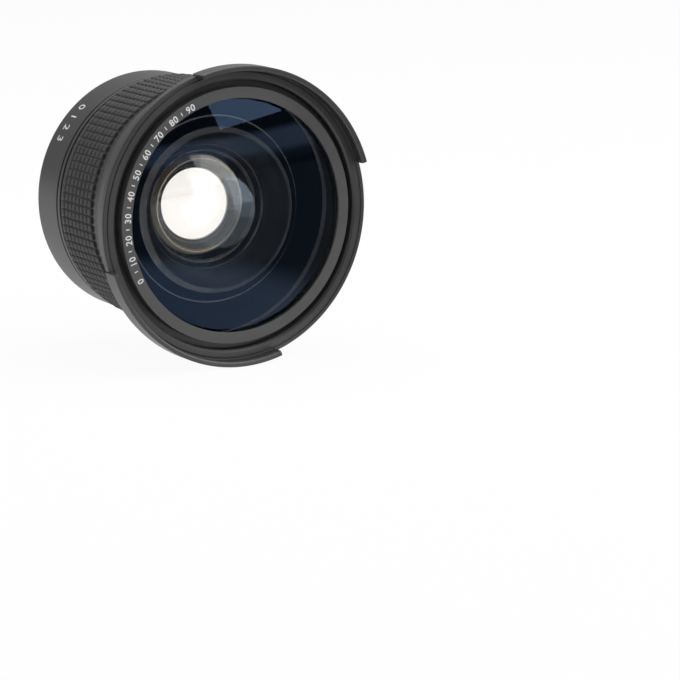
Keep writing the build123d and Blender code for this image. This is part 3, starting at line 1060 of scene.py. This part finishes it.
def background_rays(tree):
    """Four values that tell how a ray came to the backdrop or the floor.

    The first is 1 where it sees them straight or through glass, and the second is how bright it sees them
    there. The third is 1 for what is mirrored, and the fourth for what is mirrored inside the glasses.
    """
    path = add(tree, "ShaderNodeLightPath").outputs
    mirrored = maths(tree, "MINIMUM", path["Glossy Depth"], 1.0)
    bounces = maths(tree, "ADD", path["Glossy Depth"], path["Diffuse Depth"])
    straight = maths(tree, "SUBTRACT", 1.0, maths(tree, "MINIMUM", bounces, 1.0))
    through = maths(tree, "MULTIPLY", path["Is Transmission Ray"], straight)
    seen = maths(tree, "MAXIMUM", path["Is Camera Ray"], through)
    strength = maths(tree, "ADD", 1.0, maths(tree, "MULTIPLY", through, THROUGH_GLASS - 1.0))
    inside = maths(tree, "MINIMUM", path["Transmission Depth"], 1.0)
    return seen, strength, mirrored, maths(tree, "MULTIPLY", mirrored, inside)


def pale_side(tree, direction):
    """1 on the side of the room that the inner glasses mirror as a painted pale reflection."""
    side = (math.cos(PALE_SIDE_FROM), math.sin(PALE_SIDE_FROM), 0.0)
    reach = vector_maths(tree, "DOT_PRODUCT", direction, side, "Value")
    return maths(tree, "GREATER_THAN", reach, 0.0)


def white_light(tree, kind, strength):
    """An emission or background node of plain white."""
    return add(tree, kind, inputs={"Color": WHITE, "Strength": strength}).outputs[0]


def mirrored_floor(tree, inner):
    """How bright the floor glows where it is mirrored: a painted reflection with a painted pool of light and
    painted shade round it.
    """
    position = add(tree, "ShaderNodeNewGeometry").outputs["Position"]
    distance = vector_maths(tree, "DISTANCE", position, POOL_CENTRE, "Value")
    pool = map_range(tree, distance, POOL_RADIUS, POOL_END, POOL_LEVEL, FLOOR_LEVEL, "SMOOTHSTEP")
    depth = add(tree, "ShaderNodeSeparateXYZ", inputs={"Vector": position}).outputs["Y"]
    behind = map_range(tree, depth, BEHIND_FROM, BEHIND_TO, 0.0, 1.0, "SMOOTHSTEP")
    offset = vector_maths(tree, "SUBTRACT", position, LIT_CENTRE)
    far = maths(tree, "GREATER_THAN", distance, PALE_FLOOR_FROM)
    # Painted reflection inside the glasses: a pale floor, and paler still far off on the pale side
    pale = maths(tree, "MULTIPLY", maths(tree, "MULTIPLY", pale_side(tree, offset), far), inner)
    inner_level = maths(tree, "MAXIMUM", maths(tree, "MULTIPLY", inner, INNER_FLOOR),
                        maths(tree, "MULTIPLY", pale, PALE_SIDE))
    return maths(tree, "MAXIMUM", maths(tree, "MAXIMUM", pool, behind), inner_level)


def floor_white():
    """White with a trace of the lens's shadow where it is seen, and in reflections the mirrored floor as a
    painted glow.
    """
    material = bpy.data.materials.new("floor_white")
    material.use_nodes = True
    tree = material.node_tree
    tree.nodes.clear()
    output = tree.nodes.new("ShaderNodeOutputMaterial")
    seen, strength, mirrored, inner = background_rays(tree)
    lit = add(tree, "ShaderNodeBsdfDiffuse", inputs={"Color": FLOOR_COLOUR}).outputs[0]
    white = white_light(tree, "ShaderNodeEmission", strength)
    plain = mix_shader(tree, maths(tree, "MULTIPLY", seen, FLOOR_WHITE_SHARE), lit, white)
    # Painted reflection: in reflections the floor glows with the painted pool of light and the painted shade
    # round it
    reflected = white_light(tree, "ShaderNodeEmission", mirrored_floor(tree, inner))
    tree.links.new(mix_shader(tree, mirrored, plain, reflected), output.inputs["Surface"])
    return material


def build_floor():
    half = FLOOR_HALF
    level = hood_low.z
    corners = [(-half, -half, level), (half, -half, level), (half, half, level), (-half, half, level)]
    mesh = bpy.data.meshes.new("floor")
    mesh.from_pydata(corners, [], [(0, 1, 2, 3)])
    mesh.materials.append(floor_white())
    floor = bpy.data.objects.new("floor", mesh)
    bpy.context.scene.collection.objects.link(floor)


def build_world():
    world = bpy.data.worlds.new("studio")
    bpy.context.scene.world = world
    world.use_nodes = True
    tree = world.node_tree
    tree.nodes.clear()
    output = tree.nodes.new("ShaderNodeOutputWorld")
    outwards = add(tree, "ShaderNodeTexCoord").outputs["Generated"]
    direction = add(tree, "ShaderNodeSeparateXYZ", inputs={"Vector": outwards}).outputs
    # Painted reflection of a room: these walls are seen only by mirrored rays, and everything else sees the
    # plain ambient
    front_walls = ramp(tree, direction["Z"], WALL_LEVELS)
    behind = map_range(tree, direction["Y"], BACK_WALL_FROM, BACK_WALL_TO, 0.0, 1.0)
    # The mix node's sockets for colours are 6 and 7 and output 2
    walls = add(tree, "ShaderNodeMix", data_type="RGBA", inputs={0: behind, 6: front_walls, 7: BACK_WALL})
    room = add(tree, "ShaderNodeBackground", inputs={"Color": walls.outputs[2]}).outputs[0]
    seen, strength, mirrored, inner = background_rays(tree)
    # Painted reflection: a pale side of the room, seen only in reflections inside the glasses
    pale = maths(tree, "MULTIPLY", inner, pale_side(tree, outwards))
    mirrored_room = mix_shader(tree, pale, room, white_light(tree, "ShaderNodeBackground", PALE_SIDE))
    ambient = white_light(tree, "ShaderNodeBackground", AMBIENT)
    white = white_light(tree, "ShaderNodeBackground", strength)
    unseen = mix_shader(tree, mirrored, ambient, mirrored_room)
    tree.links.new(mix_shader(tree, seen, unseen, white), output.inputs["Surface"])


def softbox(name, azimuth, elevation, distance, size, radiance):
    """A soft area light of a given brightness that faces the lens. Azimuth 0 is straight in front."""
    across = math.radians(azimuth)
    up = math.radians(elevation)
    direction = Vector((math.sin(across) * math.cos(up), -math.cos(across) * math.cos(up), math.sin(up)))
    width, height = size
    data = bpy.data.lights.new(name, "AREA")
    data.shape = "RECTANGLE"
    data.size = width
    data.size_y = height
    data.energy = radiance * width * height * math.pi
    light = bpy.data.objects.new(name, data)
    bpy.context.scene.collection.objects.link(light)
    light.location = LIT_CENTRE + direction * distance
    light.rotation_mode = "QUATERNION"
    light.rotation_quaternion = (-direction).to_track_quat("-Z", "Y")


def build_lights():
    softbox("key_softbox", azimuth=58.0, elevation=38.0, distance=1.3, size=(1.9, 1.35), radiance=1.9)
    softbox("overhead_softbox", azimuth=180.0, elevation=80.0, distance=0.8, size=(0.7, 0.6), radiance=3.0)
    softbox("left_softbox", azimuth=-100.0, elevation=24.0, distance=1.1, size=(0.4, 0.8), radiance=0.5)


dress_cad()
build_front_glass()
build_second_glass()
build_macro_glasses()
build_grip()
build_collar()
build_rear_ring()
build_barrel()
build_hood()
build_name_ring()
build_marks()
build_camera()
build_floor()
build_world()
build_lights()

bpy.context.scene.view_settings.view_transform = "Standard"
